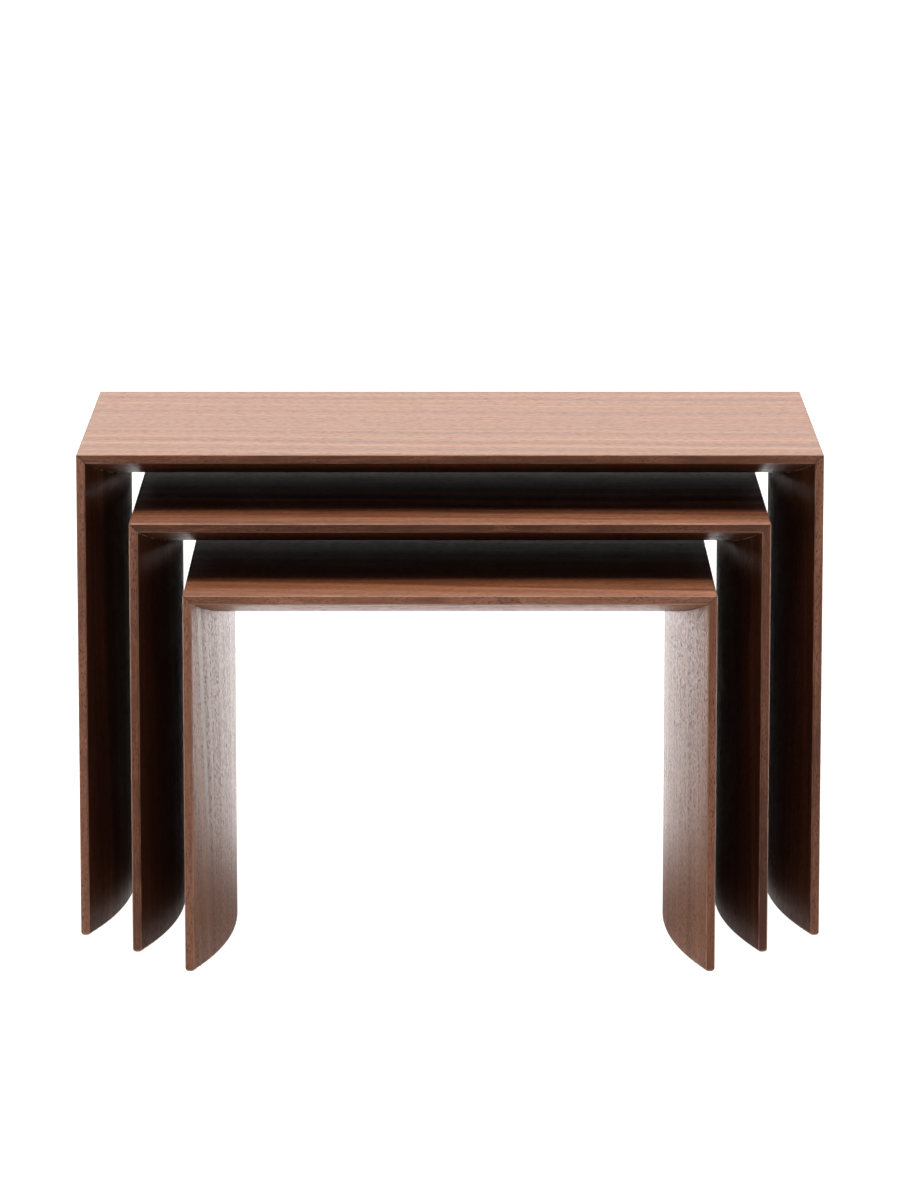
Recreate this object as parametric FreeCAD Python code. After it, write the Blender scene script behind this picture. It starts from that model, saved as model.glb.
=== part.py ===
import FreeCAD, Part
import math
import os

Vector = FreeCAD.Vector

# A nest of three tables: a large one, a medium one under it and a small one under that.
# Each table is a top and two legs, mitred at the upper corners. Every panel is flat outside and
# bulges inside, so it is thin at its front and back edges and thickest at mid-depth.
# Millimetres, +Z up, +X to the right, -Y to the front. The origin is on the floor, at the centre
# of the box that holds the whole nest as it stands.

# The nest
TABLE_NAMES = ("large", "medium", "small")
LARGE_WIDTH = 700.0
LARGE_HEIGHT = 463.5
DEPTH = 400.0
SIDE_STEP = 52.5                # each table is narrower than the last by this on either side
HEIGHT_STEP = 54.0              # and lower than the last by this
FORWARD = (0.0, 66.0, 141.0)    # how far each table stands ahead of the large one

# The panel section
EDGE = 8.0                      # thickness at the front and back edges
BULGE = 33.0                    # what the inner face adds to that at mid-depth
OUTER_ARRIS = 1.5               # radius along the outer corners and over the mitres
INNER_ARRIS = 2.5               # radius along the inner corners
FOOT_ARRIS = 3.5                # radius around each foot
VENEER = 0.6
LIPPING = 8.0                   # solid wood strip around the core
MITRE_ANGLE = 45.0
UPRIGHT = 90.0                  # a leg's turn from lying flat to standing

# The loose tongue in each mitre
TONGUE_WIDTH = 20.0             # across the joint, half in each panel
TONGUE_THICKNESS = 4.0
TONGUE_DEPTH = 14.0             # from both outer faces to the tongue's middle
TONGUE_END = 60.0               # from the front and back edges to the tongue's ends

# The felt discs under each leg
GLIDE_RADIUS = 10.0
GLIDE_HEIGHT = 1.5
GLIDE_INSET = 17.0              # from the leg's outer face to the disc's centre
GLIDE_PLACES = (0.25, 0.75)     # shares of the depth, from the front

# Worked out from the above
LARGE_FRONT = (max(FORWARD) - DEPTH) / 2
BULGE_RADIUS = ((DEPTH / 2) ** 2 + BULGE ** 2) / (2 * BULGE)
BULGE_CENTRE = EDGE + BULGE - BULGE_RADIUS
MITRE_REACH = EDGE + BULGE + LIPPING    # a mitre is cut this deep, past the thickest point

X_AXIS = Vector(1, 0, 0)
Y_AXIS = Vector(0, 1, 0)
ORIGIN = Vector(0, 0, 0)

drawing = FreeCAD.newDocument("nesting_tables")


# A panel is made lying flat, as a top lies: its outer face at z = 0, its front edge at y = 0 and
# its length along X. These are the depths of its layers below the outer face.

def outer_face(y):
    return 0.0


def outer_glue_line(y):
    return VENEER


def inner_glue_line(y):
    return BULGE_CENTRE + math.sqrt((BULGE_RADIUS - VENEER) ** 2 - (y - DEPTH / 2) ** 2)


def inner_face(y):
    return BULGE_CENTRE + math.sqrt(BULGE_RADIUS ** 2 - (y - DEPTH / 2) ** 2)


def across_panel(depth_at, front, back):
    """The edge that follows one layer's face from front to back, a line or an arc."""
    ends = [Vector(0, y, -depth_at(y)) for y in (front, back)]
    middle = (front + back) / 2
    if depth_at(front) == depth_at(middle):
        return Part.LineSegment(*ends).toShape()
    return Part.Arc(ends[0], Vector(0, middle, -depth_at(middle)), ends[1]).toShape()


def layer(length, upper, lower, front=0.0, back=DEPTH):
    """A bar of the panel's section between two faces, as long as the panel."""
    sides = [Part.makeLine(Vector(0, y, -upper(y)), Vector(0, y, -lower(y))) for y in (front, back)]
    faces = [across_panel(depth_at, front, back) for depth_at in (upper, lower)]
    outline = Part.Wire(Part.__sortEdges__(sides + faces))
    return Part.Face(outline).extrude(X_AXIS * length)


def corner_radius(edge, length, has_foot):
    """What a corner of the plain section is rounded by, or None where it is cut off later."""
    spread = edge.BoundBox
    if spread.XLength > length / 2:
        return OUTER_ARRIS if spread.ZMax > -EDGE / 2 else INNER_ARRIS
    if has_foot and spread.XMax < length / 2:
        return FOOT_ARRIS
    return None


def rounded_bar(length, has_foot):
    """The whole section with its long corners rounded, and those around the foot if it has one."""
    plain = drawing.addObject("Part::Feature", "plain_bar")
    plain.Shape = layer(length, outer_face, inner_face)
    corners = []
    for number, edge in enumerate(plain.Shape.Edges, start=1):
        radius = corner_radius(edge, length, has_foot)
        if radius:
            corners.append((number, radius, radius))
    rounded = drawing.addObject("Part::Fillet", "rounded_bar")
    rounded.Base = plain
    rounded.Edges = corners
    drawing.recompute()
    return rounded.Shape


def mitre_end(x, towards_middle):
    """Two edges: the rounded outside corner of a mitre, and the mitre line down to its reach."""
    centre = Vector(x + towards_middle * OUTER_ARRIS, 0, -OUTER_ARRIS)

    def on_corner(angle):
        return centre + Vector(-towards_middle * math.sin(angle), 0, math.cos(angle)) * OUTER_ARRIS

    mitre = math.radians(MITRE_ANGLE)
    corner = Part.Arc(on_corner(0), on_corner(mitre / 2), on_corner(mitre))
    reach = Vector(x + towards_middle * MITRE_REACH, 0, -MITRE_REACH)
    return [corner.toShape(), Part.makeLine(on_corner(mitre), reach)]


def panel_outline(length, has_foot):
    """The panel seen from its front edge: mitred at the far end, and at the near end or square."""
    far = mitre_end(length, -1)
    if has_foot:
        near = [Part.makeLine(ORIGIN, Vector(0, 0, -MITRE_REACH))]
    else:
        near = mitre_end(0.0, 1)
    near_top = near[0].Vertexes[0].Point
    near_reach = near[-1].Vertexes[-1].Point
    upper = Part.makeLine(near_top, far[0].Vertexes[0].Point)
    lower = Part.makeLine(near_reach, far[-1].Vertexes[-1].Point)
    outline = Part.Wire(Part.__sortEdges__(near + [upper] + far + [lower]))
    return Part.Face(outline).extrude(Y_AXIS * DEPTH)


def panel_pieces(length, has_foot):
    """The pieces of one flat-lying panel, by name: veneers, lippings and core."""
    shape = rounded_bar(length, has_foot).common(panel_outline(length, has_foot))
    board = layer(length, outer_glue_line, inner_glue_line, LIPPING, DEPTH - LIPPING)
    pieces = {
        "outer_veneer": layer(length, outer_face, outer_glue_line),
        "inner_veneer": layer(length, inner_glue_line, inner_face),
        "front_lipping": layer(length, outer_glue_line, inner_glue_line, 0.0, LIPPING),
        "back_lipping": layer(length, outer_glue_line, inner_glue_line, DEPTH - LIPPING, DEPTH),
    }
    if has_foot:
        foot = Part.makeBox(LIPPING, DEPTH, MITRE_REACH, Vector(0, 0, -MITRE_REACH))
        pieces["foot_lipping"] = board.common(foot)
        board = board.cut(foot)
    pieces["core"] = board
    return {name: piece.common(shape) for name, piece in pieces.items()}


def left_tongue(width, height):
    """The tongue across the left mitre, at right angles to it."""
    long_side = DEPTH - 2 * TONGUE_END
    corner = Vector(-TONGUE_WIDTH / 2, TONGUE_END, -TONGUE_THICKNESS / 2)
    tongue = Part.makeBox(TONGUE_WIDTH, long_side, TONGUE_THICKNESS, corner)
    tongue.rotate(ORIGIN, Y_AXIS, -MITRE_ANGLE)
    tongue.translate(Vector(TONGUE_DEPTH - width / 2, 0, height - TONGUE_DEPTH))
    return tongue


def left_glides(width):
    """The two discs under the left leg."""
    centres = [Vector(GLIDE_INSET - width / 2, share * DEPTH, 0) for share in GLIDE_PLACES]
    return [Part.makeCylinder(GLIDE_RADIUS, GLIDE_HEIGHT, centre) for centre in centres]


def on_the_right(shape):
    return shape.mirror(ORIGIN, X_AXIS)


def both_sides(left_shapes):
    return Part.makeCompound(left_shapes + [on_the_right(shape) for shape in left_shapes])


def table_pieces(width, height):
    """Every piece of one table, by name, with its front edges at y = 0."""
    pieces = {}
    for name, piece in panel_pieces(width, has_foot=False).items():
        piece.translate(Vector(-width / 2, 0, height))
        pieces["top_" + name] = piece
    for name, piece in panel_pieces(height - GLIDE_HEIGHT, has_foot=True).items():
        piece.rotate(ORIGIN, Y_AXIS, -UPRIGHT)
        piece.translate(Vector(-width / 2, 0, GLIDE_HEIGHT))
        pieces["left_" + name] = piece
        pieces["right_" + name] = on_the_right(piece)
    tongues = both_sides([left_tongue(width, height)])
    for panel in ("top", "left", "right"):
        pieces[panel + "_core"] = pieces[panel + "_core"].cut(tongues)
    pieces["mitre_tongues"] = tongues
    pieces["glides"] = both_sides(left_glides(width))
    return pieces


os.makedirs("parts", exist_ok=True)
for index, table in enumerate(TABLE_NAMES):
    table_width = LARGE_WIDTH - 2 * SIDE_STEP * index
    table_height = LARGE_HEIGHT - HEIGHT_STEP * index
    table_front = LARGE_FRONT - FORWARD[index]
    for name, piece in table_pieces(table_width, table_height).items():
        piece.translate(Vector(0, table_front, 0))
        piece.exportStep(f"parts/{table}_{name}.step")
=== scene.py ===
import math

import bpy
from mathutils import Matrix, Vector


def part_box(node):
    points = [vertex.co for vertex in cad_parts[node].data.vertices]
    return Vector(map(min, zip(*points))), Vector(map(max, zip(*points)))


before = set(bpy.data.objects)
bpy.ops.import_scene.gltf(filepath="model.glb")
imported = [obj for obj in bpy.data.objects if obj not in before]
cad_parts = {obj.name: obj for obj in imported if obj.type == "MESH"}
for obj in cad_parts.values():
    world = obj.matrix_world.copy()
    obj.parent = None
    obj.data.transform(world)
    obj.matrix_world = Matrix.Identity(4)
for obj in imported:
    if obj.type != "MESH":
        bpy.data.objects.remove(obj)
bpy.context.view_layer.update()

# Three walnut tables, one under the other. Metres, +Z up, -Y to the front.
# A texture's fineness is given in cells per metre, or as two such numbers: along the grain and
# across it.

TABLES = ("large", "medium", "small")
PANELS = ("top", "left", "right")

# Camera
CAMERA_PLACE = Vector((0.0, -5.70, 1.361))
CAMERA_PITCH = math.radians(10.53)
CAMERA_LENS = 181.0

# The wide soft light overhead, a little to the back and the left
SUN_FROM = Vector((-0.08, 0.06, 1.0))
SUN_SPREAD = math.radians(58)
SUN_STRENGTH = 5.0
SUN_COLOUR = (1.0, 0.88, 0.74)

# The studio around, which is dim but for three lights. Where each one fades in or out is given
# by how far a direction points up, or to the back.
ROOM_GLOW = 0.08
PANEL_GLOW = 4.8                # a panel part way up behind the tables
PANEL_RISE = (0.09, 0.45)
PANEL_SIDE = (0.3, 0.6)
FRONT_GLOW = 1.10               # a low light in front
FRONT_RISE = (0.0, 0.30)
GROUND_GLOW = 0.20              # and a faint one from the ground behind
GROUND_RISE = (-0.12, -0.02)
FRONT_TO_BACK = (-0.1, 0.1)

# The floor and the backdrop
STAGE_COLOUR = (0.14, 0.14, 0.14, 1.0)
WHITE = (1.0, 1.0, 1.0, 1.0)
FLOOR_SIDE = 80.0
FLOOR_GLOW = 1.05
BACKDROP_GLOW = 1.0
BACKDROP_RADIUS = 36.0
BACKDROP_HEIGHT = 12.0
BACKDROP_SIDES = 96

# What the wood's gloss sees of the floor
SHINE_DROP = 0.002              # how far below the floor this lies
SHINE_PAINTED_SHADOW = (0.05, 0.40)      # a painted shadow of the tables: dark in the middle, fading in between these radii
SHINE_BEHIND = 4.2              # how brightly it glows behind the tables
SHINE_RISE = (-0.10, 0.52)      # it rises to that between these depths
SHINE_ASIDE = 2.1               # times as bright as that, out to either side
SHINE_SIDES = (0.2, 0.9)        # how far out that rises


# Node helpers

MIX_SHARE, MIX_UNDER, MIX_OVER, MIX_RESULT = 0, 6, 7, 2     # a Mix node's sockets for colours
NOISE_MIDDLE = 0.5
NOISE_RANGE = (0.3, 0.7)        # nearly all of a noise's values lie between these


def add(tree, kind, values=None, **settings):
    """A new node with these settings and input values. A value that is a socket is linked."""
    made = tree.nodes.new(kind)
    for name, setting in settings.items():
        setattr(made, name, setting)
    for key, value in (values or {}).items():
        if isinstance(value, bpy.types.NodeSocket):
            tree.links.new(value, made.inputs[key])
        else:
            made.inputs[key].default_value = value
    return made


def maths(tree, operation, first, second=0.0):
    return add(tree, "ShaderNodeMath", {0: first, 1: second}, operation=operation).outputs[0]


def total(tree, *parts):
    """The sum of (value, share) pairs, each value times its share."""
    result = None
    for value, share in parts:
        part = maths(tree, "MULTIPLY", value, share)
        result = part if result is None else maths(tree, "ADD", result, part)
    return result


def separate(tree, vector):
    return add(tree, "ShaderNodeSeparateXYZ", {0: vector}).outputs


def object_place(tree):
    """The point's place with the tables at rest, which the grain keeps when they move."""
    return add(tree, "ShaderNodeTexCoord").outputs["Object"]


def noise(tree, place, detail=2.0, roughness=0.5):
    values = {"Vector": place, "Scale": 1.0, "Detail": detail, "Roughness": roughness}
    return add(tree, "ShaderNodeTexNoise", values).outputs["Fac"]


def line_noise(tree, value, fineness, detail):
    values = {"W": maths(tree, "MULTIPLY", value, fineness), "Scale": 1.0, "Detail": detail}
    return add(tree, "ShaderNodeTexNoise", values, noise_dimensions="1D").outputs["Fac"]


def step(tree, value, low, high, start=0.0, end=1.0):
    """A smooth rise or fall from start to end while value goes from low to high."""
    values = {"Value": value, "From Min": low, "From Max": high, "To Min": start, "To Max": end}
    return add(tree, "ShaderNodeMapRange", values, interpolation_type="SMOOTHSTEP").outputs["Result"]


def fall(tree, value, low, high):
    """A smooth fall from 1 to 0."""
    return step(tree, value, low, high, 1.0, 0.0)


def blend(tree, share, under, over):
    """The colour under, with this share of the colour over in its place."""
    values = {MIX_SHARE: share, MIX_UNDER: under, MIX_OVER: over}
    return add(tree, "ShaderNodeMix", values, data_type="RGBA").outputs[MIX_RESULT]


def ramp(tree, value, stops):
    made = add(tree, "ShaderNodeValToRGB", {"Fac": value})
    elements = made.color_ramp.elements
    while len(elements) < len(stops):
        elements.new(0.5)
    for element, (position, colour) in zip(elements, stops):
        element.position = position
        element.color = (*colour, 1.0)
    return made.outputs["Color"]


def stretched(tree, place, fineness):
    """The place squeezed so that a texture runs long along X, the grain."""
    along, across = fineness
    return add(tree, "ShaderNodeMapping", {"Vector": place, "Scale": (along, across, across)}).outputs[0]


def start_material(name):
    material = bpy.data.materials.new(name)
    material.use_nodes = True
    tree = material.node_tree
    shader = tree.nodes["Principled BSDF"]
    return material, tree, shader


def finish_surface(tree, shader, colour, roughness, relief, strength, height):
    """Links the colour and roughness, and a bump of this relief, strength and height."""
    values = {"Height": relief, "Strength": strength, "Distance": height}
    normal = add(tree, "ShaderNodeBump", values).outputs[0]
    tree.links.new(colour, shader.inputs["Base Color"])
    tree.links.new(roughness, shader.inputs["Roughness"])
    tree.links.new(normal, shader.inputs["Normal"])


# Walnut

WALNUT_TONES = (
    (0.00, (0.050, 0.016, 0.008)),
    (0.25, (0.085, 0.028, 0.013)),
    (0.42, (0.140, 0.050, 0.023)),
    (0.55, (0.195, 0.074, 0.035)),
    (0.75, (0.280, 0.116, 0.060)),
    (1.00, (0.430, 0.190, 0.105)),
)
PLAIN = (1.0, 1.0, 1.0)
SOLID_TINT = (1.00, 1.05, 1.27)     # the solid strips are a little greyer than the veneer
LARGE_TOP_TINT = (1.0, 1.08, 0.96)
PORE_COLOUR = (0.040, 0.017, 0.011, 1.0)
RUBBED_AND_HIGHLIGHT_COLOUR = (0.46, 0.26, 0.17, 1.0)
GLUE_COLOUR = (0.55, 0.43, 0.33, 1.0)

# The tree that the boards were cut from
PITH_SIDE = 0.34                    # how far to one side of a board its heart lay
PITH_DEPTH = 0.12                   # and how far below the board
TAPER = 0.09                        # the trunk narrows by this along its length
SHIFT_ALONG = 3.7                   # a board's place in the tree, for each whole seed
SHIFT_DOWN = 2.1
SLOW_BEND = 0.040                   # how far the grain wanders over a long stretch
SLOW_BEND_FINENESS = (2.2, 7.0)
QUICK_BEND = 0.006                  # and over a short one
QUICK_BEND_FINENESS = (9.0, 34.0)

# The figure is made of these, with these shares. Its dark lines fall where both rings and bands
# are over their own limits.
BAND_FINENESS = 46.0
RING_FINENESS = 190.0
STREAK_FINENESS = (3.0, 110.0)
FIBRE_FINENESS = (26.0, 620.0)
FIGURE_SHARES = (0.30, 0.30, 0.22, 0.18)
FIGURE_RANGE = (0.34, 0.66)
MIDDLE_TONE = 0.5
FIGURE_DEPTH = 0.25
LINE_RINGS = (0.56, 0.68)
LINE_BANDS = (0.46, 0.60)
LINE_DARKNESS = 0.50

# Three sizes of pore: their fineness, and how wide each is in its cell
VENEER_PORES = (((110.0, 1100.0), 0.36), ((80.0, 640.0), 0.34), ((60.0, 420.0), 0.28))
FINE_PORES = (((190.0, 1700.0), 0.36), ((150.0, 1100.0), 0.34), ((120.0, 800.0), 0.28))
PORE_DARKNESS = 0.70
PORE_CORE = 0.4                     # the share of its width that is fully dark
CROWD_SHARES = (0.6, 0.4)           # rings and streaks say how thick the pores lie
CROWD_RANGE = (0.40, 0.58)
LEAST_CROWD = 0.25

# Worn corners with a painted highlight: where a surface is this far from square to the panel's sides,
# and in patches
CORNER_RANGE = (0.80, 0.96)
CORNER_PATCH_FINENESS = (30.0, 60.0)
CORNER_PATCH_RANGE = (0.30, 0.70)
LEAST_CORNER_PATCH = 0.35
WEAR_AND_HIGHLIGHT_SHARE = 0.65

# Mitres: a broken pale line of glue inside the legs, and a thin dark line elsewhere
LINE_CORE = 0.5                     # the share of a line's width that is fully marked
SEAM_WIDTH = 0.0009
SEAM_SHARE = 0.6
GLUE_WIDTH = 0.0016
GLUE_SHARE = 0.7
GLUE_FINENESS = (90.0, 90.0)
GLUE_RANGE = (0.42, 0.58)

# The lacquer
LEAST_ROUGHNESS = 0.305
ROUGHNESS_SHARES = (0.20, 0.12, 0.30)   # of the rings, fibres and pores
RING_RELIEF = 0.22
FIBRE_RELIEF = 0.20
RELIEF_STRENGTH = 0.55
RELIEF_HEIGHT = 0.0006
SHEEN = 0.18


def tinted(tones, tint):
    return [(position, tuple(map(math.prod, zip(colour, tint)))) for position, colour in tones]


def grain_place(tree, upright, seed):
    """Where a point is in its board: X along the grain, Y across it, shifted by the seed."""
    place = object_place(tree)
    if upright:
        turn = (0, math.radians(90), 0)
        place = add(tree, "ShaderNodeMapping", {"Vector": place, "Rotation": turn}).outputs[0]
    shift = (seed * SHIFT_ALONG, 0.0, seed * SHIFT_DOWN)
    return add(tree, "ShaderNodeMapping", {"Vector": place, "Location": shift}).outputs[0]


def bend(tree, place, fineness):
    """A noise that runs to both sides of zero."""
    return maths(tree, "SUBTRACT", noise(tree, stretched(tree, place, fineness)), NOISE_MIDDLE)


def wandering(tree, place):
    """The place bent a few millimetres off straight, by long slow bends and short quick ones."""
    slow = bend(tree, place, SLOW_BEND_FINENESS)
    quick = bend(tree, place, QUICK_BEND_FINENESS)
    drift = total(tree, (slow, SLOW_BEND), (quick, QUICK_BEND))
    sideways = add(tree, "ShaderNodeCombineXYZ", {"Y": drift, "Z": drift}).outputs[0]
    return add(tree, "ShaderNodeVectorMath", {0: place, 1: sideways}, operation="ADD").outputs[0]


def ring_place(tree, place, seed):
    """How far a point is from the heart of the tree, which is what its growth ring depends on."""
    along, across, _ = separate(tree, place)
    side = PITH_SIDE if seed % 1 < 0.5 else -PITH_SIDE
    aside = maths(tree, "ADD", across, side)
    start_depth = PITH_DEPTH - seed * SHIFT_ALONG * TAPER
    below = maths(tree, "ADD", maths(tree, "MULTIPLY", along, TAPER), start_depth)
    flat = add(tree, "ShaderNodeCombineXYZ", {"X": aside, "Y": below}).outputs[0]
    return add(tree, "ShaderNodeVectorMath", {0: flat}, operation="LENGTH").outputs["Value"]


def pore_dashes(tree, place, sizes, crowd):
    """Open pores: short dark dashes, thicker in some rings than in others."""
    pores = None
    for fineness, width in sizes:
        cells = stretched(tree, place, fineness)
        distance = add(tree, "ShaderNodeTexVoronoi", {"Vector": cells, "Scale": 1.0}).outputs["Distance"]
        dash = fall(tree, distance, width * PORE_CORE, width)
        pores = dash if pores is None else maths(tree, "MAXIMUM", pores, dash)
    return maths(tree, "MULTIPLY", pores, crowd)


def worn_and_highlit_corners(tree, place):
    """A patchy mask of the rounded corners, where no side of the panel is met square on, for their wear
    and their painted highlight.
    """
    normal = add(tree, "ShaderNodeTexCoord").outputs["Normal"]
    facing = add(tree, "ShaderNodeVectorMath", {0: normal}, operation="ABSOLUTE").outputs[0]
    x, y, z = separate(tree, facing)
    flattest = maths(tree, "MAXIMUM", maths(tree, "MAXIMUM", x, y), z)
    patches = noise(tree, stretched(tree, place, CORNER_PATCH_FINENESS), detail=3.0)
    patchy = step(tree, patches, *CORNER_PATCH_RANGE, LEAST_CORNER_PATCH, 1.0)
    return maths(tree, "MULTIPLY", fall(tree, flattest, *CORNER_RANGE), patchy)


def mitre_line(tree, table, width):
    """A mask of the line where a table's top and legs meet, this wide."""
    half_width = -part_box(f"{table}_left_front_lipping")[0][0]
    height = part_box(f"{table}_top_outer_veneer")[1][2]
    across, _, up = separate(tree, object_place(tree))
    outward = maths(tree, "SUBTRACT", maths(tree, "ABSOLUTE", across), up)
    from_line = maths(tree, "ABSOLUTE", maths(tree, "SUBTRACT", outward, half_width - height))
    return fall(tree, from_line, width * LINE_CORE, width)


def mitre_marked(tree, place, table, glue, colour):
    """The colour with the mitre's line on it."""
    if glue:
        broken = step(tree, noise(tree, stretched(tree, place, GLUE_FINENESS)), *GLUE_RANGE)
        line = maths(tree, "MULTIPLY", mitre_line(tree, table, GLUE_WIDTH), broken)
        return blend(tree, maths(tree, "MULTIPLY", line, GLUE_SHARE), colour, GLUE_COLOUR)
    line = mitre_line(tree, table, SEAM_WIDTH)
    return blend(tree, maths(tree, "MULTIPLY", line, SEAM_SHARE), colour, PORE_COLOUR)


def walnut(name, table, upright, seed, tone=0.0, figuring=1.0, speckle=1.0, tint=PLAIN,
           pore_sizes=VENEER_PORES, sheen=SHEEN, glue=False):
    """Lacquered walnut with its grain along X, or along Z where it is upright.

    The tone makes it lighter or darker, as the wood's own tone and, on the inner veneers, as painted
    shading too; figuring strengthens its figure and speckle its pores, and glue says which line its
    mitre has.
    """
    material, tree, shader = start_material(name)
    place = wandering(tree, grain_place(tree, upright, seed))
    ring = ring_place(tree, place, seed)

    bands = line_noise(tree, ring, BAND_FINENESS, detail=3.0)
    rings = line_noise(tree, ring, RING_FINENESS, detail=3.0)
    streaks = noise(tree, stretched(tree, place, STREAK_FINENESS), detail=3.0, roughness=0.6)
    fibres = noise(tree, stretched(tree, place, FIBRE_FINENESS), roughness=0.6)
    figure = total(tree, *zip((bands, rings, streaks, fibres), FIGURE_SHARES))
    middle = MIDDLE_TONE + tone
    depth = FIGURE_DEPTH * figuring
    tones = step(tree, figure, *FIGURE_RANGE, middle - depth, middle + depth)
    colour = ramp(tree, tones, tinted(WALNUT_TONES, tint))

    lines = maths(tree, "MULTIPLY", step(tree, rings, *LINE_RINGS), step(tree, bands, *LINE_BANDS))
    colour = blend(tree, maths(tree, "MULTIPLY", lines, LINE_DARKNESS * figuring), colour, PORE_COLOUR)

    crowding = total(tree, *zip((rings, streaks), CROWD_SHARES))
    crowd = step(tree, crowding, *CROWD_RANGE, LEAST_CROWD, 1.0)
    pore = pore_dashes(tree, place, pore_sizes, crowd)
    colour = blend(tree, maths(tree, "MULTIPLY", pore, PORE_DARKNESS * speckle), colour, PORE_COLOUR)
    # The rounded corners are lightened: partly wear, partly a painted highlight where the arrises catch
    # the light
    wear_and_highlight = maths(tree, "MULTIPLY", worn_and_highlit_corners(tree, place), WEAR_AND_HIGHLIGHT_SHARE)
    colour = blend(tree, wear_and_highlight, colour, RUBBED_AND_HIGHLIGHT_COLOUR)
    colour = mitre_marked(tree, place, table, glue, colour)

    unevenness = total(tree, *zip((rings, fibres, pore), ROUGHNESS_SHARES))
    roughness = maths(tree, "ADD", unevenness, LEAST_ROUGHNESS)
    relief = total(tree, (fibres, FIBRE_RELIEF), (rings, RING_RELIEF), (pore, -speckle))
    finish_surface(tree, shader, colour, roughness, relief, RELIEF_STRENGTH, RELIEF_HEIGHT)
    shader.inputs["Specular IOR Level"].default_value = sheen
    return material


# The parts that don't show from outside, and the felt

CORE_TONES = (
    (0.00, (0.42, 0.29, 0.17)),
    (0.50, (0.56, 0.41, 0.26)),
    (1.00, (0.66, 0.51, 0.34)),
)
CORE_STRIPS = 40.0                  # to a metre of the board's depth
CORE_GRAIN_FINENESS = (8.0, 260.0)
BIRCH_TONES = (
    (0.00, (0.52, 0.38, 0.23)),
    (1.00, (0.70, 0.55, 0.37)),
)
BIRCH_GRAIN_FINENESS = (500.0, 12.0, 500.0)     # on each axis: its grain runs along Y
FELT_TONES = (
    (0.00, (0.030, 0.022, 0.018)),
    (1.00, (0.085, 0.062, 0.050)),
)
THREAD_FINENESS = (1400.0, 1400.0)
TUFT_FINENESS = (260.0, 260.0)
FELT_SHEEN = 0.3


def core_board():
    """Pale softwood strips glued side by side, each with its own tone."""
    material, tree, shader = start_material("core_board")
    place = object_place(tree)
    _, depth, _ = separate(tree, place)
    strip = maths(tree, "FLOOR", maths(tree, "MULTIPLY", depth, CORE_STRIPS))
    own_tone = add(tree, "ShaderNodeTexWhiteNoise", {"W": strip}, noise_dimensions="1D").outputs["Value"]
    grain = noise(tree, stretched(tree, place, CORE_GRAIN_FINENESS), detail=3.0, roughness=0.6)
    colour = ramp(tree, total(tree, (own_tone, 0.4), (grain, 0.6)), CORE_TONES)
    roughness = step(tree, grain, *NOISE_RANGE, 0.55, 0.75)
    finish_surface(tree, shader, colour, roughness, grain, strength=0.3, height=0.0004)
    return material


def birch_tongue():
    material, tree, shader = start_material("birch_tongue")
    values = {"Vector": object_place(tree), "Scale": BIRCH_GRAIN_FINENESS}
    grain = noise(tree, add(tree, "ShaderNodeMapping", values).outputs[0], detail=3.0)
    colour = ramp(tree, grain, BIRCH_TONES)
    roughness = step(tree, grain, *NOISE_RANGE, 0.50, 0.70)
    finish_surface(tree, shader, colour, roughness, grain, strength=0.3, height=0.0003)
    return material


def felt_glide():
    """Pressed brown felt: matted threads with a soft sheen."""
    material, tree, shader = start_material("felt_glide")
    place = object_place(tree)
    threads = noise(tree, stretched(tree, place, THREAD_FINENESS), detail=4.0, roughness=0.7)
    tufts = noise(tree, stretched(tree, place, TUFT_FINENESS))
    matted = total(tree, (threads, 0.7), (tufts, 0.3))
    colour = ramp(tree, matted, FELT_TONES)
    roughness = step(tree, matted, *NOISE_RANGE, 0.85, 1.0)
    finish_surface(tree, shader, colour, roughness, matted, strength=0.8, height=0.0004)
    shader.inputs["Sheen Weight"].default_value = FELT_SHEEN
    return material


# Each node's material. A look is what sets one piece's walnut apart: see walnut's arguments.

# How much lighter or darker than the middle each panel's wood is: top, left and right
SOLID_TONES = {
    "large": (-0.01, 0.30, 0.10),
    "medium": (-0.09, 0.05, -0.12),
    "small": (0.18, 0.16, 0.04),
}
# The inner veneers, top, left and right: the large and medium tables' are darkened, partly as darker
# wood and partly as painted shade for the gaps between the nested tables, and the small table's are
# lightened as painted light
INNER_TONE_AND_PAINTED_SHADING = {
    "large": (-0.20, -0.30, -0.30),
    "medium": (-0.26, -0.34, -0.34),
    "small": (0.12, 0.06, 0.20),
}
OUTER_TONE = -0.03

# The large table's top is quietly figured, because the whole of it shows
TOP_LOOKS = {
    "large": {"figuring": 0.7, "speckle": 0.45, "tint": LARGE_TOP_TINT},
    "medium": {"figuring": 1.9, "sheen": 0.24},
    "small": {"figuring": 1.1, "sheen": 0.22},
}

# The larger tables' legs are duller inside, where they are always in the dark
INNER_LEG_LOOKS = {
    "large": {"sheen": 0.08, "glue": True},
    "medium": {"sheen": 0.08, "glue": True},
    "small": {"figuring": 0.7, "speckle": 1.7, "pore_sizes": FINE_PORES, "glue": True},
}
SOLID_LOOK = {"speckle": 1.3, "tint": SOLID_TINT, "pore_sizes": FINE_PORES}

# Each table's seed is a whole number. Its panels' seeds go up from that by the one step, and
# their pieces' by the other.
SEED_PER_PANEL = 0.31
SEED_PER_PIECE = 0.13


def paint(node, material):
    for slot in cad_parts[node].material_slots:
        slot.material = material


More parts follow.
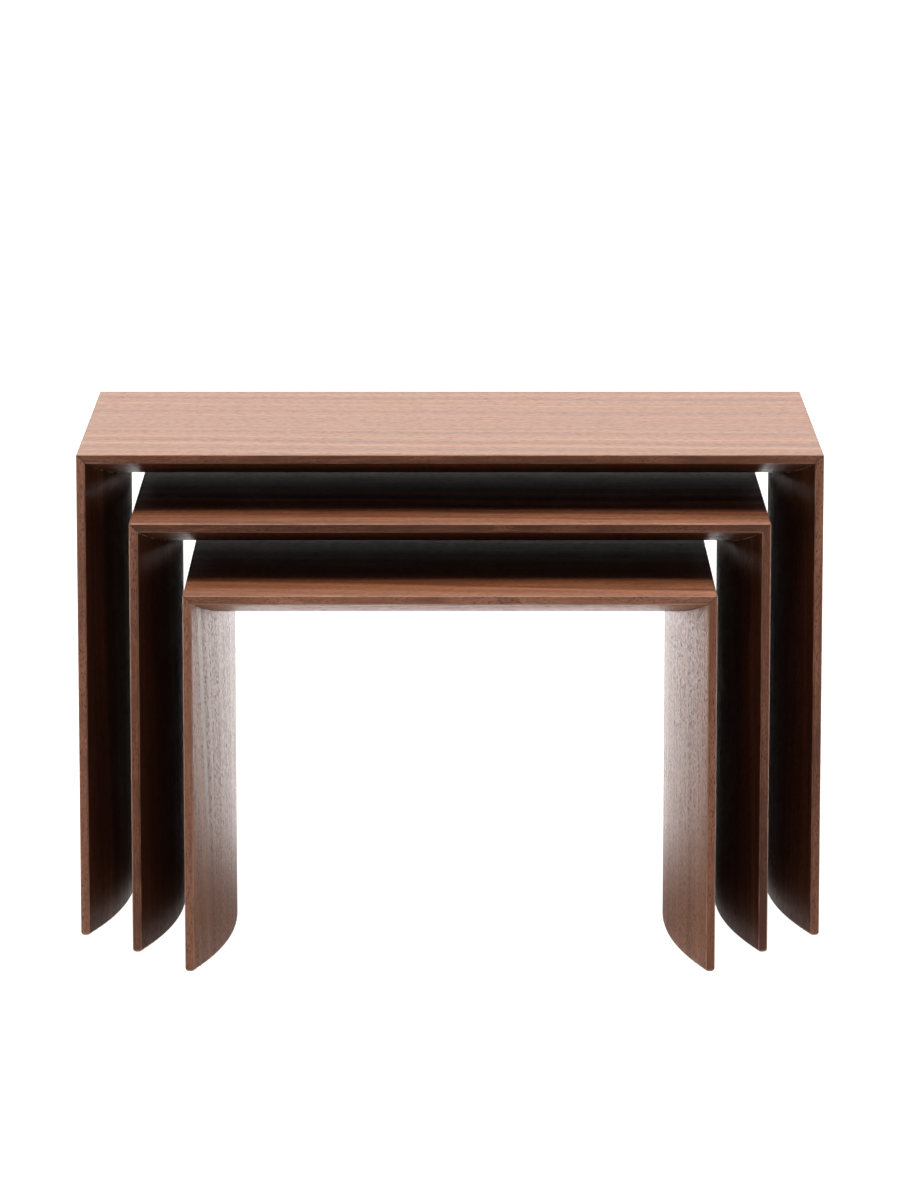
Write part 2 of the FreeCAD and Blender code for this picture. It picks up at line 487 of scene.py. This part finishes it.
def paint_panel(table, panel, seed):
    """The veneers and solid strips of one panel. Each is a piece of wood of its own."""
    upright = panel != "top"
    solid_tone = SOLID_TONES[table][PANELS.index(panel)]
    # the inner veneers' tone carries painted shading as well as the wood's own tone
    inner_tone_and_painted_shading = INNER_TONE_AND_PAINTED_SHADING[table][PANELS.index(panel)]
    outer_look = {} if upright else TOP_LOOKS[table]
    inner_look = INNER_LEG_LOOKS[table] if upright else {}
    pieces = [
        ("outer_veneer", upright, OUTER_TONE, outer_look),
        ("inner_veneer", upright, inner_tone_and_painted_shading, inner_look),
        ("front_lipping", upright, solid_tone, SOLID_LOOK),
        ("back_lipping", upright, solid_tone, SOLID_LOOK),
    ]
    if upright:
        pieces.append(("foot_lipping", False, solid_tone, SOLID_LOOK))
    for number, (piece, piece_upright, tone, look) in enumerate(pieces):
        node = f"{table}_{panel}_{piece}"
        own_seed = seed + SEED_PER_PIECE * number
        paint(node, walnut(f"walnut_{node}", table, piece_upright, own_seed, tone, **look))


def paint_tables():
    core = core_board()
    birch = birch_tongue()
    felt = felt_glide()
    for seed, table in enumerate(TABLES, start=1):
        for number, panel in enumerate(PANELS):
            paint_panel(table, panel, seed + SEED_PER_PANEL * number)
            paint(f"{table}_{panel}_core", core)
        paint(f"{table}_mitre_tongues", birch)
        paint(f"{table}_glides", felt)


# Floor, light and camera

def glowing(name):
    """A stage material that gives off its own white light. Its strength is set by the caller."""
    material, tree, shader = start_material(name)
    shader.inputs["Base Color"].default_value = STAGE_COLOUR
    shader.inputs["Specular IOR Level"].default_value = 0.0
    shader.inputs["Emission Color"].default_value = WHITE
    return material, tree, shader


def make_plane(name, height, material):
    """A floor-sized plane that doesn't light the wood from below."""
    bpy.ops.mesh.primitive_plane_add(size=FLOOR_SIDE, location=(0, 0, height))
    plane = bpy.context.object
    plane.name = name
    plane.visible_diffuse = False
    plane.data.materials.append(material)
    return plane


def make_floor():
    """The white floor that the camera sees. The wood's gloss doesn't see it."""
    material, _, shader = glowing("pale_floor")
    shader.inputs["Emission Strength"].default_value = FLOOR_GLOW
    floor = make_plane("floor", 0, material)
    floor.visible_glossy = False


def make_floor_shine():
    """What the wood's gloss sees of the floor: a painted shadow under the tables, and bright behind
    them.
    """
    material, tree, shader = glowing("floor_shine")
    place = object_place(tree)
    across, depth, _ = separate(tree, place)
    aside = maths(tree, "ABSOLUTE", across)
    back_glow = step(tree, aside, *SHINE_SIDES, SHINE_BEHIND, SHINE_BEHIND * SHINE_ASIDE)
    gain = maths(tree, "SUBTRACT", back_glow, FLOOR_GLOW)
    extra = maths(tree, "MULTIPLY", step(tree, depth, *SHINE_RISE), gain)
    from_middle = add(tree, "ShaderNodeVectorMath", {0: place}, operation="LENGTH").outputs["Value"]
    outside_painted_shadow = step(tree, from_middle, *SHINE_PAINTED_SHADOW)
    glow = maths(tree, "MULTIPLY", outside_painted_shadow, maths(tree, "ADD", extra, FLOOR_GLOW))
    tree.links.new(glow, shader.inputs["Emission Strength"])
    shine = make_plane("floor_shine", -SHINE_DROP, material)
    shine.visible_camera = False
    shine.visible_shadow = False


def make_backdrop():
    """A white wall far off all round, seen but not lighting anything."""
    bpy.ops.mesh.primitive_cylinder_add(
        radius=BACKDROP_RADIUS, depth=BACKDROP_HEIGHT, vertices=BACKDROP_SIDES, end_fill_type="NOTHING")
    wall = bpy.context.object
    wall.name = "backdrop"
    wall.visible_diffuse = False
    wall.visible_glossy = False
    wall.visible_shadow = False
    material, _, shader = glowing("white_backdrop")
    shader.inputs["Emission Strength"].default_value = BACKDROP_GLOW
    wall.data.materials.append(material)


def new_object(name, data):
    made = bpy.data.objects.new(name, data)
    bpy.context.scene.collection.objects.link(made)
    return made


def make_sun():
    sun = bpy.data.lights.new("soft_light", "SUN")
    sun.energy = SUN_STRENGTH
    sun.color = SUN_COLOUR
    sun.angle = SUN_SPREAD
    new_object("soft_light", sun).rotation_euler = SUN_FROM.to_track_quat("Z", "Y").to_euler()


def make_studio():
    """The light that comes from all round, by direction."""
    world = bpy.data.worlds.new("studio")
    world.use_nodes = True
    tree = world.node_tree
    direction = add(tree, "ShaderNodeTexCoord").outputs["Generated"]
    _, behind, up = separate(tree, direction)
    panel = maths(tree, "MULTIPLY", step(tree, up, *PANEL_RISE), step(tree, behind, *PANEL_SIDE))
    ground = maths(tree, "MULTIPLY", fall(tree, up, *GROUND_RISE), step(tree, behind, *FRONT_TO_BACK))
    front = maths(tree, "MULTIPLY", fall(tree, up, *FRONT_RISE), fall(tree, behind, *FRONT_TO_BACK))
    glow = total(tree, (panel, PANEL_GLOW), (ground, GROUND_GLOW), (front, FRONT_GLOW))
    background = tree.nodes["Background"]
    background.inputs["Color"].default_value = WHITE
    tree.links.new(maths(tree, "ADD", glow, ROOM_GLOW), background.inputs["Strength"])
    bpy.context.scene.world = world
    bpy.context.scene.view_settings.view_transform = "Standard"


def make_camera():
    camera = bpy.data.cameras.new("camera")
    camera.lens = CAMERA_LENS
    holder = new_object("camera", camera)
    holder.location = CAMERA_PLACE
    holder.rotation_euler = (math.pi / 2 - CAMERA_PITCH, 0, 0)
    bpy.context.scene.camera = holder


paint_tables()
make_floor()
make_floor_shine()
make_backdrop()
make_sun()
make_studio()
make_camera()
